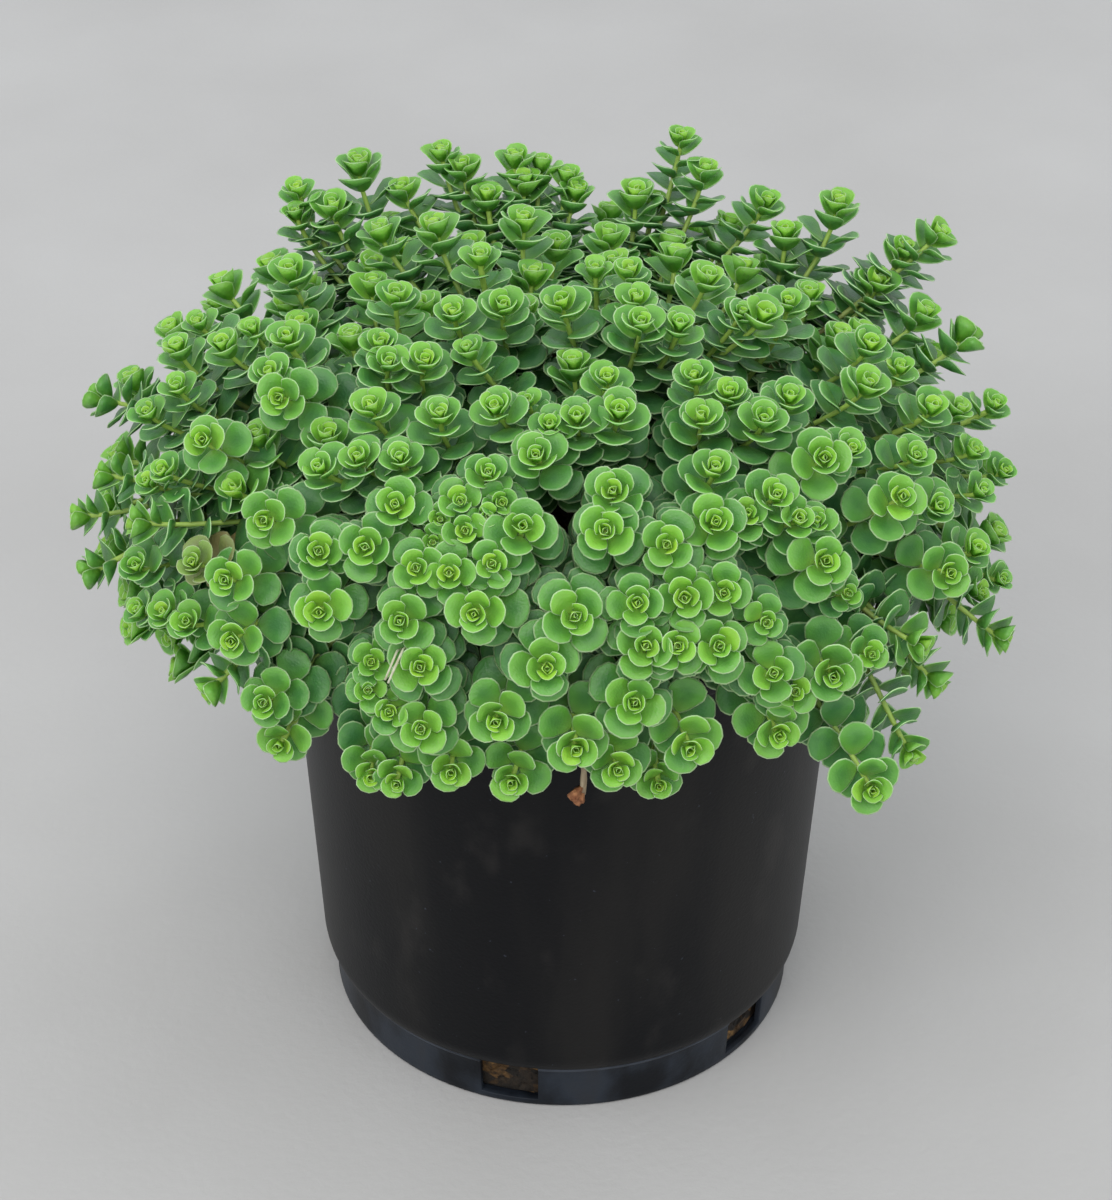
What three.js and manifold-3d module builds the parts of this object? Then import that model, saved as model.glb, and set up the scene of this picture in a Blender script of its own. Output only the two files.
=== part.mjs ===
// A mat-forming stonecrop in its nursery pot, in millimetres, +Z up.
// The origin is the middle of the pot's flat underside. The pot's front, which faces -Y, is the side that the
// reference photograph was taken from.
// Each rooted stem is one solid with its branches, and each branch ends in the plain core of a leaf rosette.

import * as THREE from 'three';
import { mergeVertices } from 'three/addons/utils/BufferGeometryUtils.js';
import Module from 'manifold-3d';

const wasm = await Module();
wasm.setup();

// Nursery pot
const POT_HEIGHT = 168;
const POT_TOP_RADIUS = 82.5;
const POT_TAPER = 9.2;                // how much the wall's radius grows from the ground to the top
const POT_WALL = 1.8;
const POT_SIDES = 48;
const FLOOR_THICKNESS = 2;
const BASE_RADIUS = 70.7;
const BASE_EDGE = 1;                  // bevel round the underside
const CREASE_HEIGHT = 16.5;           // where the base band meets the shoulder
const CREASE_RADIUS = 71.6;
const SHOULDER_HEIGHT = 23;
const LIP_HEIGHT = 10;
const LIP_OVERHANG = 2.6;

// Drain holes through the base band. Azimuths are from the front, positive towards +X.
const HOLE_AZIMUTHS = [-12.5, 52.5, 127, 201, 275];
const HOLE_WIDTH = 17.5;
const HOLE_BOTTOM = 2.6;
const HOLE_TOP = 17.4;
const HOLE_CUT_DEPTH = 12;

// Root ball
const CLEARANCE = 0.3;                // gap between pieces that touch
const SOIL_TOP = 157;
const SOIL_SHOULDER = 6;              // width of the root ball's sloping upper edge
const SOIL_EDGE_DROP = 2;

// The mound that the shoot tips make: half its width each way from the axis, and its height above and
// below its widest level
const MOUND_LEFT = 136;
const MOUND_RIGHT = 124;
const MOUND_FRONT = 110;
const MOUND_BACK = 122;
const MOUND_LEVEL = 170;
const MOUND_RISE = 72;
const MOUND_DROOP = 46;
const MOUND_SQUARENESS = 2.3;         // 2 is an ellipsoid, more is boxier
const STANDING = 0.4;                 // how strongly shoots turn up: not at all in front, twice this behind,
const HANGING_TURN = 1;               // and this much more where they hang over the rim
const HANGING_BELOW = 200;            // shoots hang where their tips are lower than this,
const HANGING_FULLY = 165;            // and fully below this

// Stems
const STEM_COUNT = 46;
const ROOT_DISC_RADIUS = 72;          // the stems come up within this distance of the axis
const DROOP_ANGLE = THREE.MathUtils.degToRad(125);   // the mound ends this far round from its top
const GOLDEN_ANGLE = Math.PI * (3 - Math.sqrt(5));
const STEM_RADIUS = 1.2;
const BRANCH_RADIUS = 0.9;
const STEM_SIDES = 4;
const STEM_STEPS = 4;
const BRANCH_STEPS = 2;
const BRANCH_SAMPLES = 6;
const RISING_SHARE = 0.42;            // shares of a shoot's span that it rises straight up at its foot,
const ARRIVING_SHARE = 0.3;           // and that it holds its tip's direction
const OVER_RIM_HEIGHT = 190;          // a shoot whose tip hangs lower first climbs over the rim,
const HANGING_EASE = 40;              // and this far below it holds its tip's direction for half as long
const CORE_SHARE = 0.4;               // a rosette core's radius, as a share of the gap to the nearest tip
const CORE_LARGEST = 6.2;
const CORE_LENGTH = 1.5;              // a core's length and the depth of its widest ring, in its radius
const CORE_CROWN = 0.5;
const HIDDEN_TIPS = 260;              // evenly spaced places tried for the tips that the photograph hides
const HIDDEN_SPACING = 16;
const STOREY_DEPTH = 12;              // how far below the crown's tips its lower storey of tips lies
const CROWN_NORMAL = 0.7;             // the crown is where the mound's surface faces up at least this much

// The photograph's viewpoint, worked out from the pot's outline in it
const EYE = new THREE.Vector3(0, -823.9, 728.9);
const VIEW_DOWN = THREE.MathUtils.degToRad(35.69);
const VIEW_TURN = THREE.MathUtils.degToRad(-0.17);
const VIEW_ROLL = THREE.MathUtils.degToRad(0.36);
const FOCAL_PIXELS = 3443;
const PICTURE_MIDDLE = [556, 600];
const PIXELS_PER_MM = 3.3;            // at the mound
const NEAREST_SIGHT = 850;            // the mound lies between these distances from the eye
const FARTHEST_SIGHT = 1350;

// Shoot tips read by eye in the photograph, in its pixels: across, down, rosette width. Where a shoot lies
// along the mound, two more numbers give the point on it that its leaves lead back to.
const SEEN_TIPS = [
  // Back edge
  [358, 166, 60], [332, 208, 50], [379, 233, 50], [402, 190, 40], [435, 228, 50], [441, 153, 40],
  [463, 168, 45], [487, 197, 45], [515, 160, 45], [524, 182, 45], [542, 165, 40], [524, 222, 55],
  [577, 192, 40], [568, 176, 35], [636, 195, 50], [682, 137, 34], [705, 171, 40], [785, 235, 55],
  [767, 203, 40], [838, 205, 50], [939, 235, 45, 905, 262], [905, 250, 40], [879, 284, 50], [290, 274, 65],
  [297, 190, 35], [295, 213, 30], [252, 330, 35],
  // Crown
  [397, 297, 50], [453, 315, 45], [480, 258, 45], [503, 309, 50], [561, 305, 60], [595, 270, 40],
  [630, 272, 45], [636, 300, 45], [708, 280, 50], [764, 318, 65], [788, 304, 45], [742, 314, 35],
  [925, 314, 45], [966, 336, 45, 940, 362], [641, 325, 50], [680, 327, 45], [381, 345, 45], [389, 365, 45],
  [425, 363, 50], [467, 350, 35], [527, 402, 24], [607, 380, 40], [694, 378, 45], [730, 394, 40],
  [790, 399, 45], [870, 347, 50], [868, 387, 65], [900, 369, 40], [371, 409, 50], [440, 416, 50],
  [495, 410, 50], [577, 420, 45], [550, 426, 35], [619, 415, 60], [701, 419, 45], [764, 422, 50],
  // Left side
  [98, 398, 35, 150, 412], [147, 414, 40], [177, 349, 45], [198, 324, 40], [223, 347, 50], [287, 340, 50],
  [269, 375, 50], [279, 398, 55, 345, 412], [177, 388, 40], [203, 440, 65, 245, 470], [163, 472, 40],
  [147, 483, 35], [106, 474, 35, 140, 470], [81, 515, 35, 125, 528], [138, 522, 45, 180, 535],
  [264, 520, 60, 345, 498], [92, 571, 38, 135, 568], [136, 568, 40], [193, 564, 40],
  [225, 580, 50, 265, 580], [138, 612, 40], [163, 614, 40], [186, 623, 40], [232, 641, 50, 270, 615],
  [319, 612, 60, 375, 585], [209, 689, 40, 240, 675], [263, 703, 45], [279, 745, 50, 325, 700],
  // Middle
  [319, 470, 45], [358, 460, 45], [400, 460, 45], [395, 506, 50], [365, 548, 55], [319, 552, 45],
  [488, 474, 40], [536, 458, 50], [460, 502, 35], [502, 504, 30], [440, 520, 25], [465, 531, 35],
  [488, 518, 30], [433, 543, 25], [522, 527, 60], [605, 531, 60], [612, 492, 52], [667, 545, 50],
  [715, 470, 50], [716, 523, 60], [748, 514, 35], [776, 497, 50], [416, 568, 45], [449, 573, 45],
  [492, 564, 40], [400, 621, 50], [474, 614, 65, 522, 585], [575, 616, 72], [637, 603, 50], [685, 598, 55],
  [724, 593, 45], [767, 623, 30], [646, 646, 50], [678, 646, 45], [720, 646, 55], [547, 668, 55],
  [371, 662, 32], [368, 690, 35], [389, 712, 40], [420, 667, 60], [635, 703, 72],
  // Right side
  [824, 458, 65, 805, 498], [852, 451, 40], [916, 458, 40], [902, 497, 65, 862, 518], [939, 509, 40],
  [932, 410, 50], [959, 410, 40], [996, 405, 35], [975, 452, 34], [1005, 472, 30], [982, 493, 35],
  [799, 520, 45], [817, 522, 35], [826, 561, 75, 780, 570], [849, 594, 18], [950, 573, 55, 885, 562],
  [976, 552, 45], [1002, 581, 30], [980, 595, 35], [872, 655, 34], [921, 644, 45, 885, 635],
  [1003, 638, 35, 975, 652], [935, 684, 40, 905, 665],
  // Front skirt
  [421, 729, 50], [496, 722, 65, 490, 672], [774, 673, 50], [833, 676, 70, 835, 625], [795, 692, 40],
  [690, 749, 65, 690, 685], [576, 749, 72, 565, 690], [779, 735, 60, 745, 700], [371, 777, 40],
  [396, 784, 45], [451, 772, 55], [511, 782, 55], [618, 770, 50], [659, 786, 40],
  [872, 790, 60, 842, 745], [912, 755, 35, 880, 740],
];
const USUAL_WIDTH = 48;               // rosette width in pixels, given to the hidden tips too
const SMALL_TIP_DEPTH = 0.2;          // mm further in for each pixel that a rosette is narrower than usual
const LYING_DEPTH = 6;                // mm that a lying shoot's leaves sink below the mound on their way back
const FACE_ON_WIDTH = 50;             // a lying shoot with a rosette this wide is seen nearly face on
const LEANING_TO_VIEW = 0.4;          // how strongly the other shoots lean to the side that is lit and seen

// Dead parts
const WITHERED_TIP = new THREE.Vector3(5.5, -93, 138);
const WITHERED_FOOT = new THREE.Vector2(5, -77);
const WITHERED_TURN = new THREE.Vector3(6.5, -97, 176);
const STALK_TIPS = [[397, 651], [403, 649]];   // pixels in the photograph
const STALK_RADIUS = 0.6;

const UP = new THREE.Vector3(0, 0, 1);
const MOUND_CENTRE = new THREE.Vector3(0, 0, MOUND_LEVEL);

const potPlastic = new THREE.MeshStandardMaterial({ color: 0x17181a, roughness: 0.55, metalness: 0 });
const bark = new THREE.MeshStandardMaterial({ color: 0x3a2a1c, roughness: 0.95, metalness: 0 });
const greenLeaf = new THREE.MeshStandardMaterial({ color: 0x5d9a45, roughness: 0.5, metalness: 0 });
const deadStem = new THREE.MeshStandardMaterial({ color: 0xa08060, roughness: 0.85, metalness: 0 });

// Booleans between closed meshes

function toSolid(geometry) {
  const bare = geometry.clone();
  bare.deleteAttribute('normal');
  bare.deleteAttribute('uv');
  const merged = mergeVertices(bare, 1e-4);
  return new wasm.Manifold(new wasm.Mesh({
    numProp: 3,
    vertProperties: new Float32Array(merged.attributes.position.array),
    triVerts: new Uint32Array(merged.index.array),
  }));
}

function toGeometry(solid) {
  const mesh = solid.getMesh();
  const geometry = new THREE.BufferGeometry();
  geometry.setAttribute('position', new THREE.BufferAttribute(new Float32Array(mesh.vertProperties), 3));
  geometry.setIndex(new THREE.BufferAttribute(new Uint32Array(mesh.triVerts), 1));
  geometry.computeVertexNormals();
  return geometry;
}

// A profile of radius and height, turned about the pot's upright axis
function turned(profile) {
  const points = profile.map(([radius, height]) => new THREE.Vector2(radius, height));
  return new THREE.LatheGeometry(points, POT_SIDES).rotateX(Math.PI / 2);
}

function wallRadius(height) {
  return POT_TOP_RADIUS - POT_TAPER * (1 - height / POT_HEIGHT);
}

// The pot: one moulding of even wall, with its outside drawn from the ground up and its inside back down
function nurseryPot() {
  const shoulderRadius = wallRadius(SHOULDER_HEIGHT);
  const lipBottom = POT_HEIGHT - LIP_HEIGHT;
  const shoulder = [90, 67, 45, 22, 0].map((degrees) => {
    const turn = THREE.MathUtils.degToRad(degrees);
    const radius = CREASE_RADIUS + (shoulderRadius - CREASE_RADIUS) * Math.cos(turn);
    const height = SHOULDER_HEIGHT - (SHOULDER_HEIGHT - CREASE_HEIGHT) * Math.sin(turn);
    return [radius, height];
  });
  const lipRadius = POT_TOP_RADIUS + LIP_OVERHANG;
  const body = toSolid(turned([
    [0, 0],
    [BASE_RADIUS - BASE_EDGE, 0],
    [BASE_RADIUS, BASE_EDGE],
    ...shoulder,
    [wallRadius(lipBottom), lipBottom],
    [lipRadius, lipBottom + LIP_OVERHANG / 2],
    [lipRadius, POT_HEIGHT - BASE_EDGE],
    [lipRadius - BASE_EDGE, POT_HEIGHT],
    [wallRadius(POT_HEIGHT) - POT_WALL, POT_HEIGHT],
    [shoulderRadius - POT_WALL, SHOULDER_HEIGHT],
    [CREASE_RADIUS - POT_WALL, CREASE_HEIGHT],
    [BASE_RADIUS - POT_WALL, FLOOR_THICKNESS],
    [0, FLOOR_THICKNESS],
  ]));
  const holes = HOLE_AZIMUTHS.map((degrees) => {
    const hole = new THREE.BoxGeometry(HOLE_WIDTH, HOLE_CUT_DEPTH, HOLE_TOP - HOLE_BOTTOM);
    hole.translate(0, -BASE_RADIUS, (HOLE_TOP + HOLE_BOTTOM) / 2);
    hole.rotateZ(THREE.MathUtils.degToRad(degrees));
    return toSolid(hole);
  });
  return toGeometry(holes.reduce((pot, hole) => pot.subtract(hole), body));
}

// The root ball fills the pot up to a little below the rim
function pottingSoil() {
  const gap = POT_WALL + CLEARANCE;
  const edgeHeight = SOIL_TOP - SOIL_EDGE_DROP;
  const bottom = FLOOR_THICKNESS + CLEARANCE;
  return turned([
    [0, bottom],
    [BASE_RADIUS - gap, bottom],
    [CREASE_RADIUS - gap, CREASE_HEIGHT],
    [wallRadius(SHOULDER_HEIGHT) - gap, SHOULDER_HEIGHT],
    [wallRadius(edgeHeight) - gap, edgeHeight],
    [wallRadius(edgeHeight) - gap - SOIL_SHOULDER, SOIL_TOP],
    [0, SOIL_TOP],
  ]);
}

// The mound as a level: 1 on the surface that the tips make, less inside it
function moundHalves(point) {
  return new THREE.Vector3(
    point.x < 0 ? MOUND_LEFT : MOUND_RIGHT,
    point.y < 0 ? MOUND_FRONT : MOUND_BACK,
    point.z < MOUND_LEVEL ? MOUND_DROOP : MOUND_RISE,
  );
}

function moundLevel(point) {
  const share = point.clone().sub(MOUND_CENTRE).divide(moundHalves(point));
  const across = Math.hypot(share.x, share.y);
  const level = across ** MOUND_SQUARENESS + Math.abs(share.z) ** MOUND_SQUARENESS;
  return level ** (1 / MOUND_SQUARENESS);
}

function moundNormal(point) {
  const step = 0.5;
  const slope = ['x', 'y', 'z'].map((axis) => {
    const ahead = point.clone();
    const behind = point.clone();
    ahead[axis] += step;
    behind[axis] -= step;
    return moundLevel(ahead) - moundLevel(behind);
  });
  return new THREE.Vector3(...slope).normalize();
}

// The line of sight through a picture point
function sightLine(across, down) {
  const level = Math.cos(VIEW_DOWN);
  const forward = new THREE.Vector3(
    Math.sin(VIEW_TURN) * level,
    Math.cos(VIEW_TURN) * level,
    -Math.sin(VIEW_DOWN),
  );
  const right = new THREE.Vector3().crossVectors(forward, UP).normalize().applyAxisAngle(forward, -VIEW_ROLL);
  const above = new THREE.Vector3().crossVectors(right, forward);
  return forward.clone()
    .addScaledVector(right, (across - PICTURE_MIDDLE[0]) / FOCAL_PIXELS)
    .addScaledVector(above, (PICTURE_MIDDLE[1] - down) / FOCAL_PIXELS)
    .normalize();
}

// Where a line of sight first meets the mound, or comes nearest to it
function onMound(across, down, depth) {
  const sight = sightLine(across, down);
  let best = null;
  let bestLevel = Infinity;
  for (let distance = NEAREST_SIGHT; distance < FARTHEST_SIGHT && bestLevel > 1; distance += 1) {
    const point = EYE.clone().addScaledVector(sight, distance);
    const level = moundLevel(point);
    if (level < bestLevel) {
      best = point;
      bestLevel = level;
    }
  }
  return best.addScaledVector(sight, depth);
}

// Shoots on the near side lean out of the mound squarely, those on the far side stand up more, and the ends
// of hanging ones turn up
function shootDirection(point) {
  const standing = STANDING * (1 + THREE.MathUtils.clamp(point.y / MOUND_FRONT, -1, 1));
  const hanging = THREE.MathUtils.clamp((HANGING_BELOW - point.z) / (HANGING_BELOW - HANGING_FULLY), 0, 1);
  return moundNormal(point).addScaledVector(UP, standing + HANGING_TURN * hanging).normalize();
}

function seenShoot([across, down, width, backAcross, backDown]) {
  const tip = onMound(across, down, Math.max(0, USUAL_WIDTH - width) * SMALL_TIP_DEPTH);
  const towardsEye = EYE.clone().sub(tip).normalize();
  if (backAcross === undefined) {
    const direction = shootDirection(tip).addScaledVector(towardsEye, LEANING_TO_VIEW).normalize();
    return { tip, direction, width };
  }
  const back = onMound(backAcross, backDown, 0);
  back.addScaledVector(moundNormal(back), -LYING_DEPTH);
  const direction = tip.clone().sub(back).normalize();
  if (width >= FACE_ON_WIDTH) {
    direction.add(towardsEye).normalize();
  }
  return { tip, direction, width };
}

// The foot that a tip belongs to: equal areas of the mound map to equal areas of the root disc
function footBelow(tip) {
  const share = tip.clone().sub(MOUND_CENTRE).divide(moundHalves(tip)).normalize();
  const polar = Math.acos(share.z);
  const reach = ROOT_DISC_RADIUS * Math.min(1, Math.sin(polar / 2) / Math.sin(DROOP_ANGLE / 2));
  const heading = Math.atan2(share.y, share.x);
  return new THREE.Vector2(reach * Math.cos(heading), reach * Math.sin(heading));
}

// A spiral of evenly spread points on a disc
function spiral(count, radius) {
  return Array.from({ length: count }, (_, index) => {
    const reach = radius * Math.sqrt((index + 0.5) / count);
    const heading = index * GOLDEN_ANGLE;
    return new THREE.Vector2(reach * Math.cos(heading), reach * Math.sin(heading));
  });
}

// The mound's own point above a place on the root disc, the reverse of footBelow
function aboveFoot(foot) {
  const polar = 2 * Math.asin(Math.sin(DROOP_ANGLE / 2) * Math.min(1, foot.length() / ROOT_DISC_RADIUS));
  const heading = Math.atan2(foot.y, foot.x);
  const share = new THREE.Vector3(
    Math.sin(polar) * Math.cos(heading),
    Math.sin(polar) * Math.sin(heading),
    Math.cos(polar),
  );
  const outward = share.clone().multiply(moundHalves(share.clone().add(MOUND_CENTRE)));
  return MOUND_CENTRE.clone().addScaledVector(outward, 1 / moundLevel(MOUND_CENTRE.clone().add(outward)));
}

// Shoots that the photograph doesn't show: an even filling of the far side, and a lower storey of the crown
// wherever its tips leave room for one
function hiddenShoots(seen) {
  const shoots = [];
  for (const foot of spiral(HIDDEN_TIPS, ROOT_DISC_RADIUS)) {
    const tip = aboveFoot(foot);
    const outward = moundNormal(tip);
    const faced = outward.dot(EYE.clone().sub(tip)) > 0;
    const onCrown = outward.z > CROWN_NORMAL;
    if (faced) {
      tip.addScaledVector(outward, -STOREY_DEPTH);
    }
    const hasRoom = [...seen, ...shoots].every((shoot) => shoot.tip.distanceTo(tip) > HIDDEN_SPACING);
    if (hasRoom && (onCrown || !faced)) {
      shoots.push({ tip, direction: shootDirection(tip), width: USUAL_WIDTH });
    }
  }
  return shoots;
}

// A shoot's line: up out of the soil, over the rim where its tip hangs outside, and in along its direction
function shootLine(shoot) {
  const foot = shoot.foot ?? footBelow(shoot.tip);
  const start = new THREE.Vector3(foot.x, foot.y, SOIL_TOP + CLEARANCE);
  const span = start.distanceTo(shoot.tip);
  const hangs = foot.length() > ROOT_DISC_RADIUS / 2 ? Math.max(0, OVER_RIM_HEIGHT - shoot.tip.z) : 0;
  const rising = start.clone().addScaledVector(UP, RISING_SHARE * span + hangs);
  const arrivingLength = (ARRIVING_SHARE * span) / (1 + hangs / HANGING_EASE);
  const arriving = shoot.tip.clone().addScaledVector(shoot.direction, -arrivingLength);
  return new THREE.CubicBezierCurve3(start, rising, arriving, shoot.tip);
}

// A branch leaves the main stem at its fork, turns away at once and eases over to its own shoot's line
function branchLine(main, own, fork) {
  const points = Array.from({ length: BRANCH_SAMPLES + 1 }, (_, index) => {
    const share = index / BRANCH_SAMPLES;
    const along = fork + (1 - fork) * share;
    return main.getPointAt(along).lerp(own.getPointAt(along), Math.sqrt(share));
  });
  return new THREE.CatmullRomCurve3(points);
}

// A closed profile of radius and distance, turned about an axis that then bends to follow the line
function turnedAlong(line, profile) {
  const length = line.getLength();
  const points = profile.map(([radius, distance]) => new THREE.Vector2(radius, distance));
  const geometry = new THREE.LatheGeometry(points, STEM_SIDES);
  const vertices = geometry.attributes.position;
  const heading = line.getPointAt(1).setZ(0);
  const level = new THREE.Vector3(-heading.y, heading.x, 0).normalize();
  for (let index = 0; index < vertices.count; index += 1) {
    const along = THREE.MathUtils.clamp(vertices.getY(index) / length, 0, 1);
    const tangent = line.getTangentAt(along);
    const side = new THREE.Vector3().crossVectors(tangent, level).normalize();
    const other = new THREE.Vector3().crossVectors(side, tangent);
    const place = line.getPointAt(along)
      .addScaledVector(side, vertices.getX(index))
      .addScaledVector(other, vertices.getZ(index));
    vertices.setXYZ(index, place.x, place.y, place.z);
  }
  return toSolid(geometry);
}

// A stem of even thickness
function plainStem(line, radius, steps) {
  const length = line.getLength();
  const rings = Array.from({ length: steps + 1 }, (_, index) => [radius, (length * index) / steps]);
  return turnedAlong(line, [[0, 0], ...rings, [0, length]]);
}

// A stem that ends in the plain core of its rosette
function shootSolid(line, radius, steps, core) {
  const length = line.getLength();
  const coreFoot = length - CORE_LENGTH * core;
  const rings = Array.from({ length: steps + 1 }, (_, index) => [radius, (coreFoot * index) / steps]);
  return turnedAlong(line, [[0, 0], ...rings, [core, length - CORE_CROWN * core], [0, length]]);
}

function nearestGap(shoot, shoots) {
  const gaps = shoots.filter((other) => other !== shoot).map((other) => other.tip.distanceTo(shoot.tip));
  return Math.min(...gaps);
}

// One rooted stem: the shoot nearest its foot carries on as the main stem, and the others branch off it by
// turns at the two joints between its lower three lengths
function rootedStem([mainShoot, ...others]) {
  const main = shootLine(mainShoot);
  const jointSpacing = (1 - (CORE_LENGTH * mainShoot.radius) / main.getLength()) / STEM_STEPS;
  const branches = others.map((shoot, index) => {
    const line = branchLine(main, shootLine(shoot), jointSpacing * (1 + (index % 2)));
    return shootSolid(line, BRANCH_RADIUS, BRANCH_STEPS, shoot.radius);
  });
  return toGeometry(branches.reduce(
    (stem, branch) => stem.add(branch),
    shootSolid(main, STEM_RADIUS, STEM_STEPS, mainShoot.radius),
  ));
}

// The shoots, shared out to the stem feet that they stand nearest to
function rootedStems() {
  const seen = SEEN_TIPS.map(seenShoot);
  const shoots = [...seen, ...hiddenShoots(seen)];
  const feet = spiral(STEM_COUNT, ROOT_DISC_RADIUS);
  const clumps = feet.map(() => []);
  for (const shoot of shoots) {
    shoot.foot = footBelow(shoot.tip);
    shoot.radius = Math.min(
      CORE_LARGEST,
      CORE_SHARE * nearestGap(shoot, shoots),
      shoot.width / PIXELS_PER_MM / 2,
    );
    const gaps = feet.map((foot) => foot.distanceTo(shoot.foot));
    const nearest = gaps.indexOf(Math.min(...gaps));
    clumps[nearest].push({ ...shoot, gap: gaps[nearest] });
  }
  return clumps
    .filter((clump) => clump.length > 0)
    .map((clump) => rootedStem(clump.sort((one, other) => one.gap - other.gap)));
}

// A dead stem that bends over the front of the rim and ends where it broke off
function witheredStem() {
  const start = new THREE.Vector3(WITHERED_FOOT.x, WITHERED_FOOT.y, SOIL_TOP + CLEARANCE);
  const rising = start.clone().addScaledVector(UP, OVER_RIM_HEIGHT - SOIL_TOP);
  const line = new THREE.CubicBezierCurve3(start, rising, WITHERED_TURN, WITHERED_TIP);
  return toGeometry(plainStem(line, BRANCH_RADIUS, STEM_STEPS));
}

// Last season's two flower stalks, standing dry from one foot
function dryStalks() {
  const lines = STALK_TIPS.map((seen) => shootLine(seenShoot([...seen, USUAL_WIDTH])));
  const first = plainStem(lines[0], STALK_RADIUS, STEM_STEPS);
  const second = plainStem(branchLine(lines[0], lines[1], 1 / STEM_STEPS), STALK_RADIUS, BRANCH_STEPS);
  return toGeometry(first.add(second));
}

const plant = new THREE.Group();

function addPiece(name, geometry, material) {
  const piece = new THREE.Mesh(geometry, material);
  piece.name = name;
  plant.add(piece);
}

addPiece('nursery_pot', nurseryPot(), potPlastic);
addPiece('potting_soil', pottingSoil(), bark);
rootedStems().forEach((stem, index) => {
  addPiece(`stonecrop_stem_${String(index + 1).padStart(2, '0')}`, stem, greenLeaf);
});
addPiece('withered_stem', witheredStem(), deadStem);
addPiece('dry_stalks', dryStalks(), deadStem);

export default plant;
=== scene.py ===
# A mat-forming stonecrop in its black nursery pot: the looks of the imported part, in metres, +Z up.
# The origin is the middle of the pot's flat underside. Shapes are worked out in millimetres, as whole arrays.
# The picture this scene is framed for is 1112 pixels wide and 1200 high.

import math

import bpy
import numpy as np
from mathutils import Matrix, Vector


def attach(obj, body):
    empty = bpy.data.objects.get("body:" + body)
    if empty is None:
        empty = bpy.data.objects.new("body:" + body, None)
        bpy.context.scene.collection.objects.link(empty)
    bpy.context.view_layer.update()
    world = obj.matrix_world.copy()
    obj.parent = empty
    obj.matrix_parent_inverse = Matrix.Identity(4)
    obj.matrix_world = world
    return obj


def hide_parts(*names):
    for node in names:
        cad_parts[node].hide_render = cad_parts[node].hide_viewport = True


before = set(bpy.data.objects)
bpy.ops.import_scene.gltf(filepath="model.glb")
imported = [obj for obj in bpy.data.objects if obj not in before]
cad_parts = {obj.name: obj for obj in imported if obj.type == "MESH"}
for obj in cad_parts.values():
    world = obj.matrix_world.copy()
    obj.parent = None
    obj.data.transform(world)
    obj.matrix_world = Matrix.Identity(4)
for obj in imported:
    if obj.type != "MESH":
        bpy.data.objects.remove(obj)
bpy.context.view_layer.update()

# Nursery pot
# One injection moulding of black polypropylene: a flat base, a base band with five drain holes, a rounded
# shoulder and a plain tapered wall with a turned lip. It stands free on the ground and holds the root ball.


def surface(name, points, faces, materials, material_numbers=None, **attributes):
    """A smooth closed mesh. points are in millimetres, faces is a list of arrays of corner numbers with one
    array for each corner count, and attributes are one number for each point."""
    corners = np.concatenate([face.ravel() for face in faces])
    counts = np.concatenate([np.full(len(face), face.shape[1]) for face in faces])
    mesh = bpy.data.meshes.new(name)
    mesh.vertices.add(len(points))
    mesh.vertices.foreach_set("co", (points * 0.001).astype(np.float32).ravel())
    mesh.loops.add(len(corners))
    mesh.loops.foreach_set("vertex_index", corners.astype(np.int32))
    mesh.polygons.add(len(counts))
    mesh.polygons.foreach_set("loop_start", (np.cumsum(counts) - counts).astype(np.int32))
    for material in materials:
        mesh.materials.append(material)
    if material_numbers is not None:
        mesh.polygons.foreach_set("material_index", material_numbers.astype(np.int32))
    for label, values in attributes.items():
        layer = mesh.attributes.new(label, "FLOAT", "POINT")
        layer.data.foreach_set("value", values.astype(np.float32))
    mesh.update(calc_edges=True)
    mesh.shade_smooth()
    made = bpy.data.objects.new(name, mesh)
    bpy.context.scene.collection.objects.link(made)
    return made


def stand_for(made, node):
    """The piece rides on the part's one body and replaces its CAD node."""
    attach(made, "root")
    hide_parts(node)


def grid_quads(rows, columns, closed=True):
    """Corner numbers of the quads between neighbouring rows and columns of a grid, whose columns close round."""
    across = np.arange(columns if closed else columns - 1)
    row, column = np.meshgrid(np.arange(rows - 1), across, indexing="ij")
    beyond = (column + 1) % columns
    first, second = row * columns + column, row * columns + beyond
    return np.stack([first, second, second + columns, first + columns], -1)


def made_of(name, roughness):
    """A new material with its node tree and its Principled node."""
    material = bpy.data.materials.new(name)
    material.use_nodes = True
    shader = material.node_tree.nodes["Principled BSDF"]
    shader.inputs["Roughness"].default_value = roughness
    return material, material.node_tree, shader


def node(tree, kind, inputs, **settings):
    """A node of that kind. inputs gives each socket a value, or another node's output to be fed from."""
    made = tree.nodes.new("ShaderNode" + kind)
    for key, value in settings.items():
        setattr(made, key, value)
    for socket, value in inputs.items():
        if isinstance(value, bpy.types.NodeSocket):
            tree.links.new(value, made.inputs[socket])
        else:
            made.inputs[socket].default_value = value
    return made


def noise(tree, place, scale, detail=3.0, stretch=(1.0, 1.0, 1.0)):
    """Soft cloudy noise, about 1 / scale metres to a blotch, stretched along the axes."""
    spread = node(tree, "Mapping", {"Vector": place, "Scale": stretch}).outputs["Vector"]
    return node(tree, "TexNoise", {"Vector": spread, "Scale": scale, "Detail": detail}).outputs["Fac"]


def ramp(tree, value, low, high, first=0.0, last=1.0):
    """value between low and high, eased over to a number between first and last."""
    inputs = {"Value": value, "From Min": low, "From Max": high, "To Min": first, "To Max": last}
    return node(tree, "MapRange", inputs, interpolation_type="SMOOTHSTEP").outputs["Result"]


def product(tree, one, other):
    """The two numbers multiplied."""
    return node(tree, "Math", {0: one, 1: other}, operation="MULTIPLY").outputs["Value"]


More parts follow.
